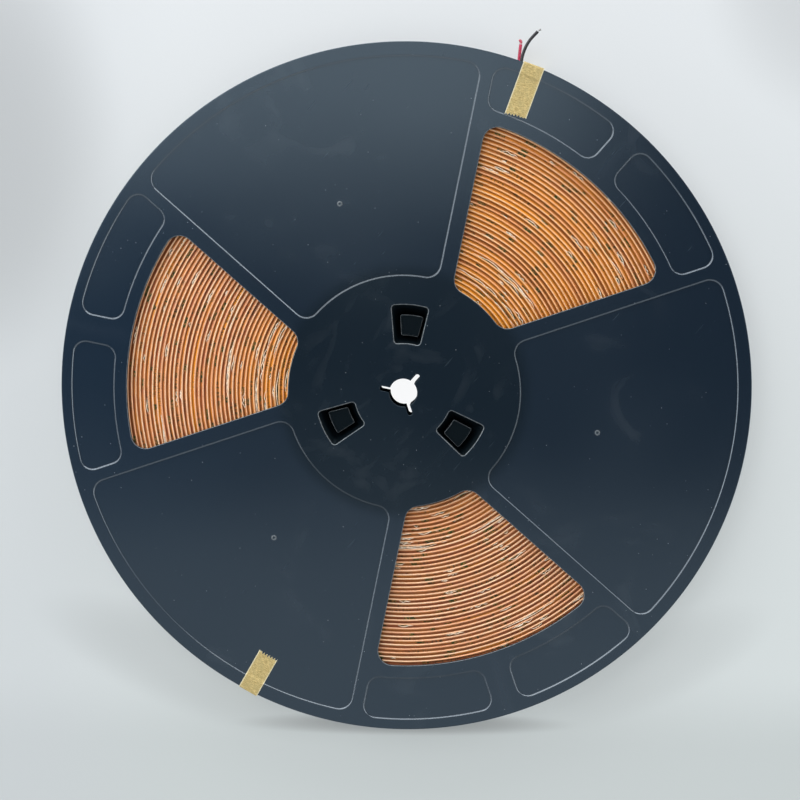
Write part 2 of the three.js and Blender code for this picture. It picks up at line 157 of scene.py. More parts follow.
# Leads: points on their middle lines. Both run alike along the outer turn, one above the other
LEAD_DIAMETER = 1.5
CONDUCTOR_DIAMETER = 0.7
TURN_ROUTE = [
    (71.5, 124.2, 2.2), (69.1, 126.0, 2.2), (63.0, 129.1, 2.1), (53.6, 132.8, 1.9),
    (34.5, 138.6, 1.5), (14.9, 141.8, 1.3), (0.0, 142.6, 1.2), (-14.9, 142.0, 1.2),
    (-24.9, 141.0, 1.2), (-35.0, 140.3, 1.2),
]
RED_LEAD_ROUTE = [(x, y, -z) for x, y, z in TURN_ROUTE] + [
    (-43.4, 141.2, -1.2), (-51.0, 144.0, -1.2), (-57.6, 148.2, -1.2), (-62.9, 153.2, -1.2),
    (-65.3, 156.4, -1.2), (-67.5, 159.5, -1.2),
]
BLACK_LEAD_ROUTE = TURN_ROUTE + [
    (-43.2, 141.3, 1.2), (-50.4, 144.1, 1.2), (-56.7, 148.4, 1.2), (-61.8, 153.6, 1.2),
    (-64.3, 158.5, 1.2), (-65.4, 163.4, 1.2), (-65.3, 168.9, 1.2),
]
RED_TIP_ROUTE = [
    (-67.7, 159.8, -1.2), (-68.2, 160.5, -1.2), (-68.8, 160.7, -1.2), (-69.1, 160.1, -1.2),
]
BLACK_TIP_ROUTE = [(-65.3, 169.2, 1.2), (-65.1, 170.0, 1.2), (-64.9, 170.6, 1.2)]

# The camera's place in metres, and its axes
CAMERA_PLACE = Vector((-0.0218, 0.0761, 0.7654))
CAMERA_RIGHT = Vector((0.7486, 0.6614, -0.0473))
CAMERA_UP = Vector((-0.6623, 0.7426, -0.0992))
CAMERA_LENS = 71.1

HALF_WIDTH = WINDING_WIDTH / 2
HALF_HEIGHT = HALF_WIDTH + FLANGE_THICKNESS
MIDDLE_Z = TAPE_THICKNESS + HALF_HEIGHT
ROOT_Z = HALF_WIDTH + FLANGE_THICKNESS / 2
POST_TIP_Z = POST_BELOW_FACE - HALF_HEIGHT
THROAT_Z = HALF_HEIGHT - SOCKET_DEPTH
SEAT_GAP = 0.3
STRIP_BOTTOM = SEAT_GAP - HALF_WIDTH
STRIP_TOP = STRIP_BOTTOM + STRIP_WIDTH

# Fineness of the curves
CIRCLE_STEPS = 288
ARC_STEPS = 36
CORNER_STEPS = 8
ROUND_STEPS = 5
SOCKET_STEPS = 6
KEY_STEPS = 12
BORE_STEPS = 24
GATE_STEPS = 24
WALL_STEPS = 10
ROUTE_STEPS = 6
SMALLEST_CORNER = 0.2

# Finishes of the plastic, in the order of its materials; INSIDE, BORE and TIP carry painted shade,
# EDGE a painted highlight, and WALL a stronger reflection for brighter highlights on the panel
# walls
POLISHED, INSIDE, BORE, EDGE, TIP, WALL = range(6)


# Plane outlines, as lists of complex numbers
def unit(angle):
    return cmath.exp(1j * math.radians(angle))


def after(angle, start):
    return start + (angle - start) % 360


def phase(point):
    return math.degrees(cmath.phase(point))


def arc(centre, radius, start, end, steps):
    return [centre + radius * unit(start + (end - start) * i / steps) for i in range(steps + 1)]


def circle(radius, steps=CIRCLE_STEPS):
    return arc(0, radius, 0, 360, steps)[:-1]


def fillet_centre(angle, turn, aside, reach):
    along = math.sqrt(reach * reach - aside * aside)
    return along * unit(angle) + aside * unit(angle + 90 * turn)


def sector(inner, outer, start, start_side, end, end_side, corner, steps, inset=0.0):
    """Counter-clockwise sector with sides parallel to two radii and rounded corners."""
    r = max(corner - inset, SMALLEST_CORNER)
    low = inner + inset + r
    high = outer - inset - r
    a = start_side + inset + r
    b = end_side + inset + r
    outer_a = fillet_centre(start, 1, a, high)
    outer_b = fillet_centre(end, -1, b, high)
    inner_b = fillet_centre(end, -1, b, low)
    inner_a = fillet_centre(start, 1, a, low)
    start_a = phase(outer_a)
    start_b = after(phase(outer_b), start_a)
    end_b = after(phase(inner_b), start_a - 90)
    end_a = after(phase(inner_a), start_a - 90)
    return (
        arc(outer_a, r, start - 90, after(start_a, start - 90), CORNER_STEPS)
        + arc(0, outer - inset, start_a, start_b, steps)[1:-1]
        + arc(outer_b, r, start_b, after(end + 90, start_b), CORNER_STEPS)
        + arc(inner_b, r, end + 90, after(end_b + 180, end + 90), CORNER_STEPS)
        + arc(0, inner + inset, end_b, end_a, steps)[1:-1]
        + arc(inner_a, r, end_a + 180, after(start - 90, end_a + 180), CORNER_STEPS)
    )


def window_outline(inset):
    return sector(WINDOW_INNER, WINDOW_OUTER, WINDOW_ANGLE - SIDE_SPREAD, WINDOW_SIDE,
                  WINDOW_ANGLE + SIDE_SPREAD, WINDOW_SIDE, WINDOW_CORNER, ARC_STEPS, inset)


def spoke_panel_outline(inset):
    side = SPOKE_RIB - WINDOW_SIDE
    return sector(SPOKE_PANEL_INNER, SPOKE_PANEL_OUTER, WINDOW_ANGLE + SIDE_SPREAD, side,
                  WINDOW_ANGLE + SECTOR_STEP - SIDE_SPREAD, side, SPOKE_PANEL_CORNER,
                  ARC_STEPS, inset)


def rim_panel_outline(first, inset):
    outer_side = WINDOW_SIDE - SPOKE_RIB + RIM_PANEL_RIB
    middle_side = RIM_PANEL_GAP / 2
    if first:
        sides = (WINDOW_ANGLE - SIDE_SPREAD, outer_side, WINDOW_ANGLE, middle_side)
    else:
        sides = (WINDOW_ANGLE, middle_side, WINDOW_ANGLE + SIDE_SPREAD, outer_side)
    return sector(RIM_PANEL_INNER, RIM_PANEL_OUTER, *sides, RIM_PANEL_CORNER, ARC_STEPS, inset)


def flared(angle, inner, outer, side, corner, inset):
    return sector(inner, outer, angle - SOCKET_FLARE, -side, angle + SOCKET_FLARE, -side,
                  corner, SOCKET_STEPS, inset)


def socket_outline(inset):
    return flared(SOCKET_ANGLE, SOCKET_INNER, SOCKET_OUTER, SOCKET_SIDE, SOCKET_CORNER, inset)


def post_outline(angle, inset):
    side = SOCKET_SIDE - POST_SIDE
    return flared(angle, POST_INNER, POST_OUTER, side, POST_CORNER, inset)


def post_spread(z):
    return POST_DRAFT * (z - POST_TIP_Z) / (HALF_WIDTH - POST_TIP_Z)


def throat_outline(inset):
    return post_outline(POST_ANGLE, inset - post_spread(-THROAT_Z) - SEAT_GAP)


def arbor_outline(grow):
    tip = KEY_WIDTH / 2 + grow
    radius = ARBOR_RADIUS + grow
    half = math.degrees(math.asin(tip / radius))
    outline = []
    for k in range(SECTORS):
        angle = WINDOW_ANGLE + k * SECTOR_STEP
        centre = (KEY_REACH - KEY_WIDTH / 2) * unit(angle)
        outline += arc(centre, tip, angle - 90, angle + 90, KEY_STEPS)
        outline += arc(0, radius, angle + half, angle + SECTOR_STEP - half, BORE_STEPS)
    return outline


def turned(outline, angle):
    return [point * unit(angle) for point in outline]


def at_height(outline, z):
    return [(point.real, point.imag, z) for point in outline]


def inside(points, outline):
    """For each point, whether it lies in the outline, by counting the sides it crosses."""
    x, y = points[:, 0:1], points[:, 1:2]
    loop = np.array([(p.real, p.imag) for p in outline])
    ax, ay = loop[:, 0], loop[:, 1]
    bx, by = np.roll(ax, -1), np.roll(ay, -1)
    rise = np.where(by == ay, 1e-12, by - ay)
    crossed = ((ay > y) != (by > y)) & (x < (bx - ax) * (y - ay) / rise + ax)
    return crossed.sum(1) % 2 == 1


def bands(rows, width, closed):
    """Faces between neighbouring rows of points, all of one width."""
    faces = []
    for s in range(rows - 1):
        low, high = s * width, (s + 1) * width
        for i in range(width if closed else width - 1):
            j = (i + 1) % width
            faces.append((low + i, low + j, high + j, high + i))
    return faces


class Shape:
    """Collects the surfaces of one piece. Each surface keeps its own corners, so that a
    level face stays level in its shading where it meets a rounded edge."""

    def __init__(self):
        self.points = []
        self.faces = []
        self.marks = []
        self.finishes = []

    def add(self, points, faces, marks=None, finish=POLISHED):
        base = len(self.points)
        self.points += points
        self.faces += [tuple(base + i for i in face) for face in faces]
        self.finishes += [finish] * len(faces)
        self.marks += marks if marks else [(0.0, 0.0)] * len(points)

    def loft(self, loops, finish=POLISHED):
        points = [point for loop in loops for point in loop]
        self.add(points, bands(len(loops), len(loops[0]), closed=True), finish=finish)

    def level(self, outer, holes, z, up=True, finish=POLISHED):
        outline = [point for loop in [outer, *holes] for point in loop]
        edges = []
        for loop in [outer, *holes]:
            base = len(edges)
            edges += [(base + i, base + (i + 1) % len(loop)) for i in range(len(loop))]
        flat = [Vector((p.real, p.imag)) for p in outline]
        found = delaunay_2d_cdt(flat, edges, [], 0, 1e-6)
        corners = np.array([tuple(v) for v in found[0]])
        faces = np.array([tuple(face) for face in found[2]])
        middles = corners[faces].mean(1)
        keep = inside(middles, outer)
        for hole in holes:
            keep &= ~inside(middles, hole)
        a, b, c = (corners[faces[:, k]] for k in range(3))
        area = (b - a)[:, 0] * (c - a)[:, 1] - (b - a)[:, 1] * (c - a)[:, 0]
        over = (area > 0) != up
        faces[over] = faces[over, ::-1]
        self.add([(x, y, z) for x, y in corners.tolist()], faces[keep].tolist(), finish=finish)

    def piece(self, name, *finishes, smooth=True):
        mesh = bpy.data.meshes.new(name)
        mesh.from_pydata([(x * MM, y * MM, z * MM) for x, y, z in self.points], [], self.faces)
        layer = mesh.uv_layers.new(name="strip")
        corner = np.zeros(len(mesh.loops), np.int32)
        mesh.loops.foreach_get("vertex_index", corner)
        layer.data.foreach_set("uv", np.array(self.marks, np.float32)[corner].ravel())
        mesh.polygons.foreach_set("use_smooth", [smooth] * len(mesh.polygons))
        for finish in finishes:
            mesh.materials.append(finish)
        mesh.polygons.foreach_set("material_index", self.finishes)
        mesh.update()
        item = link(bpy.data.objects.new(name, mesh))
        item.location.z = MIDDLE_Z * MM
        return item


def link(item):
    bpy.context.scene.collection.objects.link(item)
    return item


# Materials
class Nodes:
    """The nodes of a material or world, added one call at a time."""

    def __init__(self, owner, shader):
        owner.use_nodes = True
        self.owner = owner
        self.tree = owner.node_tree
        self.shader = self.tree.nodes[shader]

    def add(self, kind, inputs=None, **settings):
        node = self.tree.nodes.new("ShaderNode" + kind)
        for key, value in settings.items():
            setattr(node, key, value)
        for key, value in (inputs or {}).items():
            self.put(node, key, value)
        return node

    def put(self, node, key, value):
        if isinstance(value, bpy.types.NodeSocket):
            self.tree.links.new(value, node.inputs[key])
        else:
            node.inputs[key].default_value = value

    def set(self, **inputs):
        for key, value in inputs.items():
            self.put(self.shader, key.replace("_", " "), value)

    def place(self):
        return self.add("TexCoord").outputs["Object"]

    def strip_place(self):
        """Millimetres along the strip or tape, and the turn or the millimetres across it."""
        return self.add("UVMap", uv_map="strip").outputs["UV"]

    def parts(self, vector):
        return self.add("SeparateXYZ", {0: vector}).outputs

    def stretch(self, vector, scale, turn=0.0):
        rotation = (0, 0, math.radians(turn))
        inputs = {"Vector": vector, "Scale": scale, "Rotation": rotation}
        return self.add("Mapping", inputs).outputs["Vector"]

    def noise(self, vector, scale, detail=2.0, distortion=0.0):
        inputs = {"Vector": vector, "Scale": scale, "Detail": detail, "Distortion": distortion}
        return self.add("TexNoise", inputs).outputs["Fac"]

    def streaks(self, along, lengthways, across, detail=2.0, distortion=0.0):
        stretched = self.stretch(along, (lengthways, across, 1))
        return self.noise(stretched, 1.0, detail, distortion)

    def math(self, operation, a, b=0.0):
        return self.add("Math", {0: a, 1: b}, operation=operation).outputs[0]

    def times(self, a, b):
        return self.math("MULTIPLY", a, b)

    def plus(self, a, b):
        return self.math("ADD", a, b)

    def larger(self, a, b):
        return self.math("MAXIMUM", a, b)

    def between(self, value, low, high, start=0.0, end=1.0):
        inputs = {"Value": value, "From Min": low, "From Max": high,
                  "To Min": start, "To Max": end}
        return self.add("MapRange", inputs, interpolation_type="SMOOTHSTEP").outputs[0]

    def mix(self, share, a, b):
        node = self.add("Mix", data_type="RGBA")
        for index, value in ((0, share), (6, a), (7, b)):
            self.put(node, index, value)
        return node.outputs[2]

    def blend(self, a, b, value, low, high, most=1.0):
        """From one colour to another, as a value goes from low to high."""
        return self.mix(self.between(value, low, high, 0.0, most), a, b)

    def tint(self, colour, other, share, most):
        """A colour moved towards another one by a part of a share."""
        return self.mix(self.times(share, most), colour, other)

    def bump(self, height, distance, normal=None):
        inputs = {"Height": height, "Distance": distance}
        if normal is not None:
            inputs["Normal"] = normal
        return self.add("Bump", inputs).outputs["Normal"]


def material(name):
    return Nodes(bpy.data.materials.new(name), "Principled BSDF")


# Painted shadows on the floor past the reel's lower rim, and painted shade at two corners of the
# camera's view: place along its right and up, half size, fall and depth
PAINTED_FLOOR_SHADES = [
    ((-0.105, -0.138), (0.085, 0.028), 0.36, 0.22),
    ((0.125, -0.135), (0.060, 0.024), -0.42, 0.14),
    ((0.0, -0.166), (0.090, 0.0065), 0.0, 0.55),
    ((-0.215, 0.12), (0.085, 0.12), 0.0, 0.36),
    ((0.205, 0.20), (0.07, 0.08), 0.0, 0.25),
]

# The reel's colours, as linear red, green and blue, and its duller hub, in metres from the axis
PLASTIC_DARK = (0.0058, 0.0138, 0.0265, 1)
PLASTIC_LIGHT = (0.0084, 0.0168, 0.0308, 1)
PLASTIC_HUB = (0.0052, 0.0116, 0.0200, 1)
HUB_SHINE = 0.7
HUB_EDGE = (0.055, 0.064)


def flow_marks(n, place, radius):
    """Faint swirls of the melt, and smears about the hub."""
    swirl = n.between(n.noise(place, 26.0, 3.0, 1.4), 0.54, 0.72)
    swirl = n.times(swirl, n.between(n.noise(place, 11.0, 1.0), 0.45, 0.62))
    smear = n.noise(n.stretch(place, (1.0, 0.45, 1.0), 25), 48.0, 4.0, 2.2)
    smear = n.times(n.between(smear, 0.50, 0.72), n.between(radius, 0.058, 0.04))
    return n.larger(swirl, smear)


def weld_lines(n, place, x, y, radius):
    """Thin wavering lines across the rim where the melt met, one past each window."""
    share = n.times(n.math("ARCTAN2", y, x), SECTORS / (2 * math.pi))
    aside = n.math("SUBTRACT", n.math("FRACT", n.plus(share, 0.75)), 0.5)
    waver = n.times(n.math("SUBTRACT", n.noise(place, 60.0), 0.5), 0.02)
    aside = n.times(n.math("ABSOLUTE", n.plus(aside, waver)), radius)
    return n.times(n.between(aside, 0.0022, 0.0), n.between(radius, 0.131, 0.138))


def scuff_marks(n, place):
    """Fine scratches in two directions, in patches."""
    scuffs = []
    for turn, scale in ((24, 900.0), (-51, 800.0)):
        long = n.noise(n.stretch(place, (1.0, 0.09, 1.0), turn), scale, 1.0)
        patch = n.between(n.noise(place, 37.0 + turn * 0.1), 0.58, 0.70)
        scuffs.append(n.times(n.between(long, 0.70, 0.80), patch))
    return n.larger(*scuffs)


def dust_specks(n, place, radius):
    """Pale specks of uneven size, thicker in places and towards the hub."""
    cells = n.add("TexVoronoi", {"Vector": place, "Scale": 560.0}).outputs
    tone = n.parts(cells["Color"])
    near_hub = n.between(radius, 0.035, 0.085, 0.05, 0.0)
    thick = n.between(n.noise(place, 24.0), 0.40, 0.64, 0.97, 0.90)
    chosen = n.math("GREATER_THAN", tone[0], n.math("SUBTRACT", thick, near_hub))
    dust = n.times(n.between(cells["Distance"], 0.14, 0.05), chosen)
    return n.times(dust, n.between(tone[1], 0.0, 1.0, 0.08, 1.0))


def reel_plastic(name, shine, tint):
    """Blue-black moulded polystyrene, with marks of the mould and of use, and a duller hub."""
    n = material(name)
    place = n.place()
    x, y, _ = n.parts(place)
    radius = n.math("SQRT", n.plus(n.times(x, x), n.times(y, y)))
    scuffs = scuff_marks(n, place)
    dust = dust_specks(n, place, radius)

    colour = n.mix(n.noise(place, 7.0, 1.0), PLASTIC_DARK, PLASTIC_LIGHT)
    colour = n.mix(n.between(radius, *HUB_EDGE), PLASTIC_HUB, colour)
    colour = n.tint(colour, (0.12, 0.14, 0.16, 1), flow_marks(n, place, radius), 0.085)
    colour = n.tint(colour, (0.09, 0.11, 0.15, 1), weld_lines(n, place, x, y, radius), 0.035)
    colour = n.tint(colour, (0.10, 0.13, 0.15, 1), scuffs, 0.10)
    colour = n.tint(colour, (0.42, 0.45, 0.47, 1), dust, 0.7)

    rough = n.between(n.noise(place, 12.0, 1.0), 0.3, 0.7, 0.19, 0.235)
    rough = n.plus(rough, n.times(n.larger(scuffs, dust), 0.2))
    grain = n.bump(n.noise(place, 2600.0, 1.0), 0.000003)
    warp = n.bump(n.noise(place, 24.0, 1.0), 0.00003, normal=grain)
    n.set(Base_Color=colour, Roughness=rough, IOR=1.7, Normal=warp, Specular_Tint=tint)
    n.set(Specular_IOR_Level=n.between(radius, *HUB_EDGE, shine * HUB_SHINE, shine))
    return n.owner


def grained(name, scale, dark, light, **values):
    """A plain material with a fine grain."""
    n = material(name)
    grain = n.noise(n.place(), scale)
    n.set(Base_Color=n.blend(dark, light, grain, 0.35, 0.65), Normal=n.bump(grain, 0.00001))
    n.set(**values)
    return n.owner


def shaded_or_highlit_plastic(name, roughness, specular, dark, light):
    """The same plastic, darker as painted shade in the recesses, paler as a painted highlight on
    edges.
    """
    return grained(name, 1400.0, dark, light, Roughness=roughness,
                   Specular_IOR_Level=specular, Specular_Tint=(0.62, 0.85, 1.0, 1))


def insulation(name, deep, light):
    """Extruded PVC: satin, with a faint grain."""
    return grained(name, 900.0, deep, light, Roughness=0.26)


def shaded_side(n):
    """One on the side of the roll that lies lowest in the camera's view, where it gets painted
    shade.
    """
    dot = n.add("VectorMath", {0: n.place(), 1: CAMERA_UP}, operation="DOT_PRODUCT")
    return n.between(dot.outputs["Value"], -0.02, -0.09)


def warmth(n, along):
    """Where the strip is yellower: on its inner turns, and as painted light on the side of one
    window.
    """
    turn = n.parts(along)[1]
    y = n.parts(n.place())[1]
    inner = n.between(turn, 17, 3, 0.0, 0.9)
    inner = n.times(inner, n.between(shaded_side(n), 0.3, 0.0, 0.2, 1.0))
    # Painted light: yellower towards one side of the roll
    upper = n.times(n.between(y, 0.03, 0.07, 0.0, 0.62), n.between(turn, 44, 24, 0.35, 1.0))
    return n.larger(inner, upper)


def strip_ribbon():
    """The pale edges of the strip's board and backing, warm from the light that they catch."""
    n = material("strip_ribbon")
    along = n.strip_place()
    drift = n.streaks(along, 0.016, 3.1, 3.0)
    fine = n.streaks(along, 1.3, 3.1)
    lanes = n.streaks(along, 0.003, 1.1)
    colour = n.blend((0.96, 0.50, 0.26, 1), (1.0, 0.68, 0.43, 1), drift, 0.35, 0.65)
    colour = n.blend(colour, (1.0, 0.78, 0.58, 1), fine, 0.52, 0.72, 0.45)
    colour = n.tint(colour, (0.98, 0.47, 0.12, 1), warmth(n, along), 0.6)
    colour = n.blend(colour, (0.84, 0.36, 0.18, 1), lanes, 0.50, 0.62, 0.5)
    rough = n.between(fine, 0.3, 0.7, 0.25, 0.4)
    n.set(Base_Color=colour, Roughness=rough, Normal=n.bump(fine, 0.00003))
    return n.owner


def strip_bead():
    """The amber phosphor and its bed between the turns, dark with painted shade, and printed specks
    in places.
    """
    n = material("strip_bead")
    along = n.strip_place()
    drift = n.streaks(along, 0.011, 2.3)
    blotch = n.streaks(along, 0.10, 2.3, 3.0)
    fine = n.streaks(along, 1.9, 2.3, 1.0)
    lanes = n.streaks(along, 0.003, 0.9)
    spots = n.streaks(along, 0.045, 1.7, 1.0)
    colour = n.blend((0.46, 0.135, 0.050, 1), (0.72, 0.265, 0.055, 1), blotch, 0.3, 0.7)
    yellow = n.larger(n.between(drift, 0.58, 0.68), warmth(n, along))
    colour = n.mix(yellow, colour, (0.90, 0.33, 0.02, 1))
    # Painted shade on the side of the roll lowest in the camera's view
    colour = n.tint(colour, (0.20, 0.065, 0.022, 1), shaded_side(n), 0.42)
    colour = n.blend(colour, (0.34, 0.09, 0.035, 1), lanes, 0.50, 0.60, 0.6)
    # Painted shade: the bed goes darker the deeper it lies between the turns
    height = n.math("ABSOLUTE", n.parts(n.place())[2])
    low = n.between(height, (STRIP_TOP - 1.05) * MM, (STRIP_TOP - 0.55) * MM, 0.55, 0.0)
    colour = n.mix(low, colour, (0.14, 0.045, 0.010, 1))
    specks = n.times(n.between(spots, 0.56, 0.62), n.between(fine, 0.52, 0.58))
    colour = n.tint(colour, (0.045, 0.035, 0.010, 1), specks, 0.85)
    n.set(Base_Color=colour, Roughness=0.32, Normal=n.bump(blotch, 0.0001))
    return n.owner


def strip_part():
    """Dark green lacquered pads and parts at the strip's edges."""
    n = material("strip_part")
    speck = n.noise(n.place(), 1500.0)
    drift = n.noise(n.place(), 110.0, 1.0)
    colour = n.blend((0.13, 0.080, 0.014, 1), (0.040, 0.075, 0.012, 1), drift, 0.35, 0.6)
    colour = n.blend(colour, (0.018, 0.020, 0.010, 1), speck, 0.54, 0.60)
    colour = n.blend(colour, (0.42, 0.17, 0.05, 1), speck, 0.47, 0.42)
    n.set(Base_Color=colour, Roughness=0.5, Specular_IOR_Level=0.2, Normal=n.bump(speck, 0.00006))
    return n.owner


def film_glint():
    """Creased clear film at the strip's edge: its glossy folds are painted pale, as painted glints.
    """
    n = material("film_glint")
    crease = n.streaks(n.strip_place(), 0.9, 2.0, 3.0)
    colour = n.blend((1.0, 0.72, 0.50, 1), (1.0, 0.88, 0.72, 1), crease, 0.4, 0.6)
    n.set(Base_Color=colour, Roughness=0.12, Normal=n.bump(crease, 0.0002))
    return n.owner


def masking_tape():
    """Creped beige paper: short ridges across the tape, with a painted highlight along its cut
    edges.
    """
    n = material("masking_tape")
    along = n.strip_place()
    crepe = n.streaks(along, 2.8, 0.55, 3.0, 0.4)
    blotch = n.streaks(along, 0.3, 0.3)
    grain = n.streaks(along, 2.9, 2.3)
    colour = n.blend((0.43, 0.31, 0.105, 1), (0.70, 0.55, 0.24, 1), crepe, 0.38, 0.62)
    colour = n.blend(colour, (0.46, 0.37, 0.16, 1), blotch, 0.4, 0.66, 0.45)
    colour = n.blend(colour, (0.84, 0.72, 0.39, 1), grain, 0.52, 0.66, 0.4)
    colour = n.blend(colour, (0.33, 0.24, 0.08, 1), grain, 0.46, 0.36, 0.45)
    # Painted highlight along the tape's edges and cut ends
    edge_highlight = n.add("Attribute", attribute_name="edge").outputs["Fac"]
    colour = n.blend(colour, (0.92, 0.86, 0.62, 1), edge_highlight, 0.2, 0.9, 0.8)
    bump = n.bump(crepe, 0.00012)
    n.set(Base_Color=colour, Roughness=0.78, Normal=n.bump(grain, 0.00003, normal=bump))
    return n.owner


def tinned_copper():
    """Solder-dipped strands: dull bright, a little lumpy."""
    n = material("tinned_copper")
    lump = n.noise(n.place(), 1300.0)
    colour = n.mix(lump, (0.22, 0.22, 0.22, 1), (0.50, 0.49, 0.48, 1))
    rough = n.between(lump, 0.3, 0.7, 0.22, 0.42)
    n.set(Base_Color=colour, Metallic=1.0, Roughness=rough, Normal=n.bump(lump, 0.00006))
    return n.owner


def bare_copper():
    """Bare copper strands of the red lead, stained by its insulation."""
    n = material("bare_copper")
    lump = n.noise(n.place(), 1500.0)
    colour = n.mix(lump, (0.50, 0.04, 0.085, 1), (0.62, 0.15, 0.19, 1))
    n.set(Base_Color=colour, Metallic=0.3, Roughness=0.4, Normal=n.bump(lump, 0.00006))
    return n.owner


def painted_shade_spot(n, right, up, centre, size, lean):
    """One in the middle of an ellipse on the floor that falls as it goes right, nothing past it."""
    across = n.math("DIVIDE", n.math("SUBTRACT", right, centre[0]), size[0])
    fall = n.times(across, lean * size[0] / size[1])
    away = n.plus(n.math("DIVIDE", n.math("SUBTRACT", up, centre[1]), size[1]), fall)
    square = n.plus(n.times(across, across), n.times(away, away))
    return n.between(square, 1.0, 0.0)


def floor_tone(n, x, y):
    """Pale paper, darker with painted shade on the near and left sides and with painted shadows."""
    up = n.plus(n.times(x, CAMERA_UP.x), n.times(y, CAMERA_UP.y))
    right = n.plus(n.times(x, CAMERA_RIGHT.x), n.times(y, CAMERA_RIGHT.y))
    # Painted shade: darker towards the near side, most in a band just past the reel's lower rim,
    # and towards the left
    colour = n.blend((0.71, 0.76, 0.765, 1), (0.79, 0.82, 0.845, 1), up, -0.16, 0.24)
    colour = n.blend(colour, (0.545, 0.59, 0.59, 1), up, -0.135, -0.18, 0.6)
    colour = n.blend(colour, (0.60, 0.63, 0.66, 1), right, -0.10, -0.20, 0.5)
    # Painted shadows past the reel's lower rim, and painted shade at two corners
    for centre, size, lean, depth in PAINTED_FLOOR_SHADES:
        spot = painted_shade_spot(n, right, up, centre, size, lean)
        colour = n.tint(colour, (0.24, 0.25, 0.25, 1), spot, depth)
    return colour


def floor_material():
    """The floor's paper. For the rays that show it, part of its tone glows as painted light, so
    that it stays pale under the reel's shadow and near white in the arbor hole."""
    n = material("floor_paper")
    place = n.place()
    x, y, _ = n.parts(place)
    colour = floor_tone(n, x, y)
    n.set(Base_Color=colour, Roughness=0.7, Normal=n.bump(n.noise(place, 700.0), 0.00002))
    rays = n.add("LightPath").outputs
    shown = n.larger(rays["Is Camera Ray"], rays["Is Glossy Ray"])
    shown = n.larger(shown, rays["Is Transmission Ray"])
    radius = n.add("VectorMath", {0: place}, operation="LENGTH").outputs["Value"]
    near, far = BOSS_RADIUS * MM, 2 * BOSS_RADIUS * MM
    # Painted light: for camera, glossy and transmission rays the floor glows, near white under the
    # arbor hole
    own = n.between(radius, near, far, 0.97, FLOOR_GLOW_SHARE)
    pale = n.mix(n.between(radius, near, far), (0.96, 0.97, 0.98, 1), colour)
    glow = n.add("Emission", {"Color": pale, "Strength": 1.0}).outputs[0]
    both = n.add("MixShader", {0: n.times(shown, own), 1: n.shader.outputs[0], 2: glow})
    n.put(n.tree.nodes["Material Output"], "Surface", both.outputs[0])
    return n.owner


# The reel
def rounded(outline_of, size, z, sense=-1):
    """Loops of a quarter round from a level face at z to a wall, for outlines at an offset."""
    loops = []
    for i in range(ROUND_STEPS + 1):
        a = math.pi / 2 * i / ROUND_STEPS
        drop = size * (1 - math.cos(a))
        loops.append(at_height(outline_of(size * (1 - math.sin(a))), z + sense * drop))
    return loops


def sloped_wall():
    """Insets and drops of a panel's wall, an even S from one level to the other."""
    width = PANEL_DRAFT + 2 * PANEL_ROUND
    shares = [i / WALL_STEPS for i in range(WALL_STEPS + 1)]
    return [(width * t - PANEL_ROUND, PANEL_DEPTH * t * t * (3 - 2 * t)) for t in shares]


def add_window(shape, turn):
    def hole(out):
        return turned(window_outline(-out), turn)

    front = rounded(hole, EDGE_ROUND, HALF_HEIGHT)
    shape.loft(front, EDGE)
    shape.loft(front[-1:] + rounded(hole, EDGE_ROUND, HALF_WIDTH, sense=1)[::-1])


def add_panel(shape, outline_of, turn):
    shape.loft([at_height(turned(outline_of(inset), turn), HALF_HEIGHT - drop)
                for inset, drop in sloped_wall()], WALL)
    floor = turned(outline_of(PANEL_DRAFT + PANEL_ROUND), turn)
    shape.level(floor, [], HALF_HEIGHT - PANEL_DEPTH)


def socket_outside(turn, z):
    """Outline of a socket's outer wall at a height."""
    share = (HALF_HEIGHT - z) / SOCKET_DEPTH
    wide = turned(socket_outline(-SOCKET_WALL), turn)
    narrow = turned(throat_outline(-SOCKET_WALL), turn)
    return [a + (b - a) * share for a, b in zip(wide, narrow)]


def add_socket(shape, turn):
    def mouth(out):
        return turned(socket_outline(-out), turn)

    throat = at_height(turned(throat_outline(0), turn), THROAT_Z)
    collar = at_height(turned(throat_outline(-SOCKET_WALL), turn), THROAT_Z)
    root = at_height(socket_outside(turn, ROOT_Z), ROOT_Z)
    shape.loft(rounded(mouth, MOUTH_ROUND, HALF_HEIGHT), EDGE)
    shape.loft([at_height(mouth(0), HALF_HEIGHT - MOUTH_ROUND), throat], INSIDE)
    shape.loft([throat, collar, root])


def add_post(shape, turn):
    def outline(inset):
        return turned(post_outline(180 - POST_ANGLE, inset), turn)

    side_z = POST_TIP_Z + POST_ROUND
    dish_z = POST_TIP_Z + POST_DISH_DEPTH
    dish = outline(POST_DISH_RIM)
    corner = rounded(lambda out: outline(POST_ROUND - out), POST_ROUND, side_z)[::-1]
    shape.level(dish, [], dish_z, up=False, finish=TIP)
    shape.loft([at_height(dish, dish_z), at_height(dish, POST_TIP_Z)], TIP)
    shape.level(outline(POST_ROUND), [dish], POST_TIP_Z, up=False, finish=TIP)
    shape.loft(corner, EDGE)
    shape.loft([at_height(outline(0), side_z),
                at_height(outline(-post_spread(ROOT_Z)), ROOT_Z)], INSIDE)


def revolve(shape, profile):
    for (r0, z0), (r1, z1) in zip(profile, profile[1:]):
        shape.loft([at_height(circle(r0), z0), at_height(circle(r1), z1)])


def add_rim(shape):
    def rim(out):
        return circle(REEL_RADIUS - out)

    shape.loft(rounded(rim, INNER_ROUND, HALF_WIDTH, sense=1)
               + rounded(rim, RIM_ROUND, HALF_HEIGHT)[::-1])


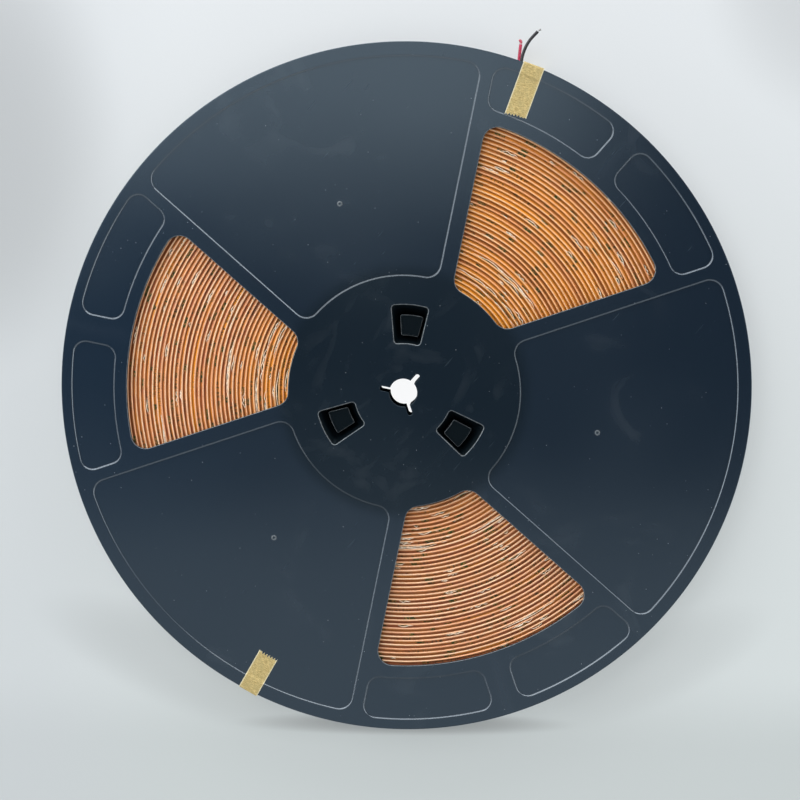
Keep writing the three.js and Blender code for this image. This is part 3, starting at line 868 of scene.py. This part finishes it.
def add_gate(shape, angle):
    """The shallow ring that a trimmed gate leaves."""
    centre = GATE_FROM_AXIS * unit(angle)
    z = HALF_HEIGHT - PANEL_DEPTH + GATE_LIFT
    loops = []
    for share, height in GATE_ROWS:
        outline = [centre + GATE_RADIUS * share * p for p in circle(1, GATE_STEPS)]
        loops.append(at_height(outline, z + height * GATE_HEIGHT))
    # The ring's upper part takes the edge finish, a painted highlight
    shape.loft(loops[:4], EDGE)
    shape.loft(loops[3:])


def reel_half():
    """One moulded half about its own middle plane, with its outer face up."""
    shape = Shape()
    front_holes = [arbor_outline(EDGE_ROUND)]
    back_holes = [circle(DRUM_RADIUS)]
    hub_holes = [circle(BOSS_RADIUS)]
    panels = [spoke_panel_outline, lambda inset: rim_panel_outline(True, inset),
              lambda inset: rim_panel_outline(False, inset)]
    for k in range(SECTORS):
        turn = k * SECTOR_STEP
        add_window(shape, turn)
        add_socket(shape, turn)
        add_post(shape, turn)
        window = turned(window_outline(-EDGE_ROUND), turn)
        back_holes.append(window)
        front_holes += [window, turned(socket_outline(-MOUTH_ROUND), turn)]
        hub_holes.append(socket_outside(turn, HALF_WIDTH))
        for outline_of in panels:
            add_panel(shape, outline_of, turn)
            front_holes.append(turned(outline_of(-PANEL_ROUND), turn))
        add_gate(shape, WINDOW_ANGLE + SECTOR_STEP / 2 + turn)
    shape.level(circle(REEL_RADIUS - RIM_ROUND), front_holes, HALF_HEIGHT)
    shape.level(circle(REEL_RADIUS - INNER_ROUND), back_holes, HALF_WIDTH, up=False)
    shape.level(circle(DRUM_RADIUS - DRUM_WALL), hub_holes, HALF_WIDTH, up=False)
    add_rim(shape)
    shape.loft(rounded(arbor_outline, EDGE_ROUND, HALF_HEIGHT))
    bore = arbor_outline(0)
    shape.loft([at_height(bore, HALF_HEIGHT - EDGE_ROUND), at_height(bore, 0)], BORE)
    revolve(shape, [(DRUM_RADIUS - DRUM_WALL, HALF_WIDTH), (DRUM_RADIUS - DRUM_WALL, 0),
                    (DRUM_RADIUS, 0), (DRUM_RADIUS, HALF_WIDTH)])
    revolve(shape, [(BOSS_RADIUS, 0), (BOSS_RADIUS, HALF_WIDTH)])
    return shape


# The wound strip
def wander(angle, turn):
    """How far the turns lie out of the true spiral, alike in neighbours, in millimetres."""
    a = math.radians(angle)
    return (0.10 * math.sin(3 * a + 0.4 + turn * 0.05) + 0.06 * math.sin(7 * a + 2.1)
            + 0.035 * math.sin(19 * a + turn * 1.7))


def spiral(turn):
    """Radius and angle of the strip's middle after so many turns from the drum."""
    angle = STRIP_END_ANGLE + 360 * turn
    ease = min(turn, TURNS - turn, 1)
    return ROLL_INNER + TURN_PITCH * turn + ease * wander(angle, turn), angle


def spiral_point(turn, out, z):
    radius, angle = spiral(turn)
    point = (radius + out) * unit(angle)
    return point.real, point.imag, z


def unwound(turn):
    """Length of strip wound up to a turn."""
    return 2 * math.pi * (ROLL_INNER * turn + TURN_PITCH * turn * turn / 2)


def edge_dip(turn):
    """How far a turn's edge lies below the highest one."""
    slow = 0.5 + 0.5 * math.sin(turn * 5.3 + math.sin(turn * 1.9) * 2)
    return 0.14 * slow + 0.05 * math.sin(turn * 61)


def add_spiral(shape, start, end, section_of, closed=True, steps=STEPS_PER_TURN):
    """Sweeps a cross-section along the spiral. A section is a list of (out, z)."""
    count = max(2, round((end - start) * steps))
    points = []
    marks = []
    for i in range(count + 1):
        turn = start + (end - start) * i / count
        section = section_of(turn, i / count)
        points += [spiral_point(turn, out, z) for out, z in section]
        marks += [(unwound(turn), math.floor(turn) + out * 0.1) for out, _ in section]
    width = len(section)
    faces = bands(count + 1, width, closed)
    if closed:
        faces.append(tuple(range(width))[::-1])
        faces.append(tuple(count * width + i for i in range(width)))
    shape.add(points, faces, marks)


def ribbon_section(turn, _share):
    half = RIBBON_THICKNESS / 2
    narrow = half - RIBBON_SOFT
    top = STRIP_TOP - edge_dip(turn)
    bottom = STRIP_BOTTOM + edge_dip(turn + 0.37)
    return [
        (-half, top - RIBBON_SOFT), (-narrow, top), (narrow, top), (half, top - RIBBON_SOFT),
        (half, bottom + RIBBON_SOFT), (narrow, bottom), (-narrow, bottom),
        (-half, bottom + RIBBON_SOFT),
    ]


def bead_section(face):
    side = RIBBON_THICKNESS / 2
    gap = TURN_PITCH - RIBBON_THICKNESS

    def section(turn, _share):
        dip = 0.12 * math.sin(turn * 7.7)
        if face > 0:
            return [(side + gap * s, STRIP_TOP - depth - dip) for s, depth in BEAD_ROWS]
        return [(side + gap * s, STRIP_BOTTOM + depth + dip) for s, depth in BEAD_ROWS[::-1]]

    return section


def slab_section(low, high, top, thickness):
    return lambda _turn, _share: [(low, top - thickness), (high, top - thickness), (high, top),
                                  (low, top)][::-1]


def turn_at(length):
    """The turn at which so much strip is wound."""
    inner = ROLL_INNER / TURN_PITCH
    return -inner + math.sqrt(inner * inner + length / (math.pi * TURN_PITCH))


def strip_parts(paint):
    """Lacquered pads and small parts that show at the edges every cutting length."""
    pick = random.Random(7)
    shape = Shape()
    for face in (1, -1):
        length = PART_MARGIN
        while length < unwound(TURNS - 1) - PART_MARGIN:
            if pick.random() < PART_SHARE:
                start, end = turn_at(length), turn_at(length + pick.uniform(*PART_LENGTH))
                low = RIBBON_THICKNESS / 2 + pick.uniform(-0.02, 0.1)
                high = low + pick.uniform(*PART_WIDTH)
                depth = pick.uniform(*PART_DEPTH)
                top = STRIP_TOP - depth if face > 0 else STRIP_BOTTOM + depth + PART_HEIGHT
                section = slab_section(low, high, top, PART_HEIGHT)
                add_spiral(shape, start, end, section, steps=STEPS_PER_TURN * 2)
            length += PART_SPACING * pick.uniform(0.75, 1.3)
    return shape.piece("strip_parts", paint, smooth=False)


def film_folds(clear, dark):
    """Clear film that stands out of the winding in narrow creased loops, pale as painted glints,
    with painted shade inside.
    """
    pick = random.Random(19)
    film, shade_slabs = Shape(), Shape()
    for face in (1, -1):
        length = FOLD_MARGIN[0]
        while length < unwound(TURNS - 1) - FOLD_MARGIN[1]:
            crowded = turn_at(length) < CROWDED_TURNS
            add_fold(film, shade_slabs, pick, face, length, 0.5 if crowded else 0.08)
            length += FOLD_SPACING * pick.uniform(0.2, 1.8) * (0.45 if crowded else 0.9)
    return [film.piece("strip_film", clear, smooth=False),
            shade_slabs.piece("strip_film_gaps", dark, smooth=False)]


def add_fold(film, shade_slabs, pick, face, length, long_share):
    """One to three creased edges of film, and a dark slab of painted shade in the gap that they
    stand over.
    """
    size = pick.uniform(*LONG_FOLD) if pick.random() < long_share else pick.uniform(*SHORT_FOLD)
    spread = pick.uniform(*FOLD_SPREAD)
    start, end = turn_at(length), turn_at(length + size)
    waves = pick.uniform(0.8, 2.6)
    shift = pick.uniform(0, 6)
    middle, half = (start + end) / 2, (end - start) / 2
    for side in pick.choice(FOLD_SIDES):
        reach = half * pick.uniform(0.45, 1.0)
        aside = pick.uniform(-0.4, 0.4) * half
        section = fold_section(face, side, spread, waves, shift)
        add_spiral(film, middle + aside - reach, middle + aside + reach, section,
                   steps=STEPS_PER_TURN * 5)
    low, high = FOLD_MIDDLE - 0.5 * spread, FOLD_MIDDLE + 0.5 * spread
    top = STRIP_TOP - 0.4 if face > 0 else STRIP_BOTTOM + 0.7
    section = slab_section(low, high, top, 0.3)
    add_spiral(shade_slabs, middle - 0.5 * half, middle + 0.5 * half, section)


def fold_section(face, side, spread, waves, shift):
    def section(_turn, share):
        swell = math.sin(math.pi * share) ** 0.7
        out = side * spread * swell * (0.8 + 0.3 * math.sin(waves * 6 * share + shift))
        out = FOLD_MIDDLE + out
        out += (0.16 + 0.3 * (1 - abs(side))) * math.sin(waves * 7 * share + shift * 2)
        top = STRIP_TOP - 0.14 + 0.12 * swell * math.sin(waves * 9 * share + shift)
        if face < 0:
            top = STRIP_TOP + STRIP_BOTTOM - top + FOLD_TALL
        half = 0.05 + 0.13 * swell
        bottom = top - FOLD_TALL
        return [(out - half, top), (out + half, top), (out + half, bottom), (out - half, bottom)]

    return section


# Masking tape
def rounded_path(corners, radius):
    """A line of points through corners, each rounded."""
    path = [Vector(corners[0])]
    for before, corner, then in zip(corners, corners[1:], corners[2:]):
        before, corner, then = Vector(before), Vector(corner), Vector(then)
        reach = min(radius, (before - corner).length / 2.2, (then - corner).length / 2.2)
        a = corner + (before - corner).normalized() * reach
        b = corner + (then - corner).normalized() * reach
        for i in range(ROUND_STEPS + 1):
            s = i / ROUND_STEPS
            path.append(a.lerp(corner, s).lerp(corner.lerp(b, s), s))
    path.append(Vector(corners[-1]))
    return path


def point_along(path, lengths, reach):
    """The point of a line at a length from its start, and its direction there."""
    i = min(max(int(np.searchsorted(lengths, reach)) - 1, 0), len(path) - 2)
    share = (reach - lengths[i]) / (lengths[i + 1] - lengths[i])
    return path[i].lerp(path[i + 1], share), (path[i + 1] - path[i]).normalized()


def cut_edge(pick, skew):
    """How far a serrated cut lies back from the tape's end, across the tape."""
    depths = [TOOTH_DEPTH * pick.uniform(0.3, 1.0) for _ in range(TEETH)]
    backs = []
    for j in range(TAPE_COLUMNS + 1):
        across = j / TAPE_COLUMNS
        place = across * TEETH
        cell = min(int(place), TEETH - 1)
        bite = (1 - abs(2 * (place - cell) - 1)) * depths[cell]
        backs.append(bite + skew * (across - 0.5) + abs(skew) / 2)
    return backs


def tape_line(size, panel_outer):
    """The line of the tape's outer side, over the rim and down into the panels, and the length
    to each of its points."""
    far = abs(size["aside"]) + size["width"] / 2
    web = REEL_RADIUS + SEAT_GAP
    inner = REEL_RADIUS - size["reach"] - abs(size["skew"]) / 2
    step = math.sqrt(panel_outer ** 2 - far ** 2) - SEAT_GAP
    low = HALF_HEIGHT - PANEL_DEPTH + TAPE_THICKNESS
    high = HALF_HEIGHT + TAPE_THICKNESS
    front = [(inner, low), (step - PANEL_DRAFT, low), (step, high), (web + TAPE_THICKNESS, high)]
    path = rounded_path(front + [(u, -z) for u, z in reversed(front)], TAPE_BEND)
    lengths = [0.0]
    for a, b in zip(path, path[1:]):
        lengths.append(lengths[-1] + (b - a).length)
    return path, lengths


def tape_faces(rows):
    """Faces of the outer side, of the underside and of the edges between them."""
    wide = TAPE_COLUMNS + 1
    under = (rows + 1) * wide
    faces = []
    for i in range(rows):
        for j in range(TAPE_COLUMNS):
            a = i * wide + j
            b = under + a
            faces.append((a, a + wide, a + wide + 1, a + 1))
            faces.append((b, b + 1, b + wide + 1, b + wide))
    ring = list(range(TAPE_COLUMNS)) + [i * wide + TAPE_COLUMNS for i in range(rows)]
    ring += [rows * wide + TAPE_COLUMNS - j for j in range(TAPE_COLUMNS)]
    ring += [(rows - i) * wide for i in range(rows)]
    for a, b in zip(ring, ring[1:] + ring[:1]):
        faces.append((a, b, b + under, a + under))
    return faces


def tape_piece(name, size, panel_outer, paper, seed):
    """Creped tape folded over the rim onto both faces, torn off at both ends."""
    pick = random.Random(seed)
    path, lengths = tape_line(size, panel_outer)
    total = lengths[-1]
    rows = round(total / TAPE_ROW)
    ends = [cut_edge(pick, size["skew"]) for _ in range(2)]
    points, edge, marks = [], [], []
    for sunk, creped in ((0.0, CREPE_DEPTH), (UNDERSIDE, 0.0)):
        for i in range(rows + 1):
            even = total * i / rows
            for j in range(TAPE_COLUMNS + 1):
                across = j / TAPE_COLUMNS
                reach = even + ends[0][j] * max(0.0, 1 - even / CUT_FADE)
                reach -= ends[1][j] * max(0.0, 1 - (total - even) / CUT_FADE)
                point, ahead = point_along(path, lengths, reach)
                crepe = creped * pick.random() if creped else 0.0
                place = point + Vector((ahead.y, -ahead.x)) * (crepe + sunk)
                v = -size["aside"] - size["width"] / 2 + size["width"] * across
                points.append((place.x, -v, place.y))
                # Where the painted highlight falls: near both sides and at both cut ends
                edge.append(max(abs(2 * across - 1) ** 9, 1.0 if i in (0, rows) else 0.0))
                marks.append((reach, size["width"] * across))
    shape = Shape()
    shape.add(points, tape_faces(rows), marks)
    made = shape.piece(name, paper)
    layer = made.data.attributes.new("edge", "FLOAT", "POINT")
    layer.data.foreach_set("value", edge)
    made.rotation_euler.z = math.radians(size["angle"])
    return made


# Leads
def smooth_route(route):
    """Centripetal curve through the route's points, in metres in the shared frame."""
    points = [Vector((x, y, z + MIDDLE_Z)) * MM for x, y, z in route]
    ends = [2 * points[0] - points[1], *points, 2 * points[-1] - points[-2]]
    line = []
    for a, b, c, d in zip(ends, ends[1:], ends[2:], ends[3:]):
        t1 = (b - a).length ** 0.5
        t2 = t1 + (c - b).length ** 0.5
        t3 = t2 + (d - c).length ** 0.5
        for i in range(ROUTE_STEPS):
            t = t1 + (t2 - t1) * i / ROUTE_STEPS
            share = (t - t1) / (t2 - t1)
            p = a.lerp(b, t / t1)
            q = b.lerp(c, share)
            r = c.lerp(d, (t - t2) / (t3 - t2))
            line.append(p.lerp(q, t / t2).lerp(q.lerp(r, (t - t1) / (t3 - t1)), share))
    line.append(points[-1])
    return line


def wire_piece(name, route, diameter, cover, swell=(1.0, 1.0)):
    """Round wire along a route. Swell gives its width at both ends, as shares of the diameter."""
    line = smooth_route(route)
    data = bpy.data.curves.new(name, "CURVE")
    data.dimensions = "3D"
    data.bevel_depth = diameter / 2 * MM
    data.bevel_resolution = 4
    data.use_fill_caps = True
    spline = data.splines.new("POLY")
    spline.points.add(len(line) - 1)
    for i, (place, point) in enumerate(zip(line, spline.points)):
        point.co = (*place, 1)
        point.radius = swell[0] + (swell[1] - swell[0]) * i / (len(line) - 1)
    data.materials.append(cover)
    return link(bpy.data.objects.new(name, data)), line


# Stage, lights and camera
def make_camera():
    data = bpy.data.cameras.new("camera")
    data.lens = CAMERA_LENS
    data.clip_end = 50
    camera = link(bpy.data.objects.new("camera", data))
    back = CAMERA_RIGHT.cross(CAMERA_UP)
    axes = Matrix((CAMERA_RIGHT, CAMERA_UP, back)).transposed().to_4x4()
    camera.matrix_world = Matrix.Translation(CAMERA_PLACE) @ axes
    bpy.context.scene.camera = camera


def make_light(name, right, up, height, size, power, colour=(1.0, 1.0, 1.0), aim=(0, 0)):
    """A soft light, placed and sized along the photograph's right and up on the floor."""
    across = Vector((CAMERA_RIGHT.x, CAMERA_RIGHT.y, 0)).normalized()
    away = Vector((-across.y, across.x, 0))
    data = bpy.data.lights.new(name, "AREA")
    data.shape = "RECTANGLE"
    data.size, data.size_y = size
    data.energy = power
    data.color = colour
    light = link(bpy.data.objects.new(name, data))
    place = across * right + away * up + Vector((0, 0, height))
    target = across * aim[0] + away * aim[1]
    back = (place - target).normalized()
    side = (across - back * across.dot(back)).normalized()
    axes = Matrix((side, back.cross(side), back)).transposed().to_4x4()
    light.matrix_world = Matrix.Translation(place) @ axes
    light.visible_camera = False


def make_world():
    """Pale walls low all round, and a dim room above them."""
    world = bpy.data.worlds.new("studio")
    bpy.context.scene.world = world
    n = Nodes(world, "Background")
    up = n.parts(n.add("TexCoord").outputs["Generated"])[2]
    level = n.between(up, 0.2, 0.62, WALLS_LEVEL, ROOM_LEVEL)
    seen = n.add("LightPath").outputs["Is Camera Ray"]
    strength = n.add("Mix", {0: seen, 2: level, 3: BACKDROP_LEVEL}).outputs[0]
    n.set(Strength=strength, Color=(0.90, 0.97, 1.0, 1))


def make_stage():
    mesh = bpy.data.meshes.new("floor")
    side = FLOOR_HALF_SIDE
    mesh.from_pydata([(-side, -side, 0), (side, -side, 0), (side, side, 0), (-side, side, 0)],
                     [], [(0, 1, 2, 3)])
    mesh.materials.append(floor_material())
    floor = link(bpy.data.objects.new("floor", mesh))


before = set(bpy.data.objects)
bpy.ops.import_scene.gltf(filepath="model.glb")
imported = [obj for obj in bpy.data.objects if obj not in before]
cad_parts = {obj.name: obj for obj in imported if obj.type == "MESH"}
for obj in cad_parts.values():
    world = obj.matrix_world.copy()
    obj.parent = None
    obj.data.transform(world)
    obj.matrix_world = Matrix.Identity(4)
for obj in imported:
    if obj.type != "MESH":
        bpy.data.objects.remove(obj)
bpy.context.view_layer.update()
make_camera()


def make_leads():
    tin = tinned_copper()
    red = insulation("red_pvc", (0.42, 0.012, 0.055, 1), (0.62, 0.03, 0.10, 1))
    copper = bare_copper()
    black = insulation("black_pvc", (0.008, 0.008, 0.011, 1), (0.018, 0.018, 0.024, 1))
    for colour, route, tip_route, cover, bare, swell in (
        ("red", RED_LEAD_ROUTE, RED_TIP_ROUTE, red, copper, (1.9, 1.6)),
        ("black", BLACK_LEAD_ROUTE, BLACK_TIP_ROUTE, black, tin, (0.8, 1.6)),
    ):
        wire, line = wire_piece(f"{colour}_wire", route, LEAD_DIAMETER, cover)
        end, _ = wire_piece(f"{colour}_wire_end", tip_route, CONDUCTOR_DIAMETER, bare, swell)
        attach(wire, "root")
        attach(end, "root")
        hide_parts(f"{colour}_lead")
        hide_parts(f"{colour}_lead_tip")
        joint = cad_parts[f"{colour}_solder_joint"]
        joint.data.materials.clear()
        joint.data.materials.append(tin)


def make_reel():
    # Painted shade: the sockets' insides, the bore and the post tips are much darker than the face
    deep = ((0.0012, 0.0030, 0.0046, 1), (0.0026, 0.0050, 0.0072, 1))
    inside = shaded_or_highlit_plastic("shaded_socket_plastic", 0.4, 0.12, *deep)
    bore = shaded_or_highlit_plastic("shaded_bore_plastic", 0.8, 0.0, *deep)
    # Painted highlight: rounded edges are much paler than the face
    edge_highlight = ((0.09, 0.10, 0.11, 1), (0.20, 0.21, 0.215, 1))
    edge = shaded_or_highlit_plastic("highlit_edge_plastic", 0.32, 0.6, *edge_highlight)
    tip = shaded_or_highlit_plastic("shaded_post_plastic", 0.3, 0.2, *deep)
    face = reel_plastic("reel_plastic", 0.5, (0.68, 0.87, 1.0, 1))
    # Stronger reflection on the panel walls than on the face, for brighter wall highlights
    wall = reel_plastic("highlit_wall_plastic", 0.85, (0.82, 0.92, 1.0, 1))
    front = reel_half().piece("front_half", face, inside, bore, edge, tip, wall)
    rear = link(bpy.data.objects.new("rear_half", front.data))
    rear.location.z = MIDDLE_Z * MM
    rear.rotation_euler.y = math.pi
    for piece, node in ((front, "front_flange"), (rear, "rear_flange")):
        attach(piece, "root")
        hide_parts(node)


def make_roll():
    ribbon = Shape()
    add_spiral(ribbon, 0, TURNS, ribbon_section)
    bead = Shape()
    for face in (1, -1):
        add_spiral(bead, BEAD_START, TURNS - 1, bead_section(face), closed=False)
    paint = strip_part()
    turns = ribbon.piece("strip_turns", strip_ribbon())
    pieces = [turns, bead.piece("strip_phosphor", strip_bead()), strip_parts(paint)]
    # The film's shade slabs take the lacquer's dark colour, as painted shade
    for piece in pieces + film_folds(film_glint(), paint):
        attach(piece, "root")
    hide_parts("led_strip_roll")


def make_tapes():
    paper = masking_tape()
    for name, size, panel_outer, node, seed in (
        ("upper_masking_tape", UPPER_TAPE, RIM_PANEL_OUTER, "upper_tape", 3),
        ("lower_masking_tape", LOWER_TAPE, SPOKE_PANEL_OUTER, "lower_tape", 5),
    ):
        piece = tape_piece(name, size, panel_outer, paper, seed)
        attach(piece, "root")
        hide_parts(node)


make_leads()
make_reel()
make_roll()
make_tapes()
make_stage()
make_world()
make_light("upper_panel", -0.50, 0.86, 1.32, (1.4, 1.4), 10.0, aim=(-0.5, 0.86))
make_light("lower_panel", 0.0, -0.88, 1.32, (2.0, 1.2), 5.5, aim=(0.0, -0.88))
make_light("key", -0.1, 1.9, 0.55, (3.6, 0.6), 28.0)
make_light("high_fill", -1.35, 1.15, 1.4, (1.6, 1.6), 14.0)
make_light("left_sheen", -0.62, -0.02, 1.40, (0.6, 0.6), 0.16, (0.05, 0.45, 1.0),
           aim=(-0.62, -0.02))
make_light("left_fill", -1.9, 0.1, 0.5, (0.5, 3.2), 13.0)
make_light("right_fill", 1.9, 0.1, 0.5, (0.5, 3.2), 10.0)

bpy.context.scene.view_settings.view_transform = "Standard"
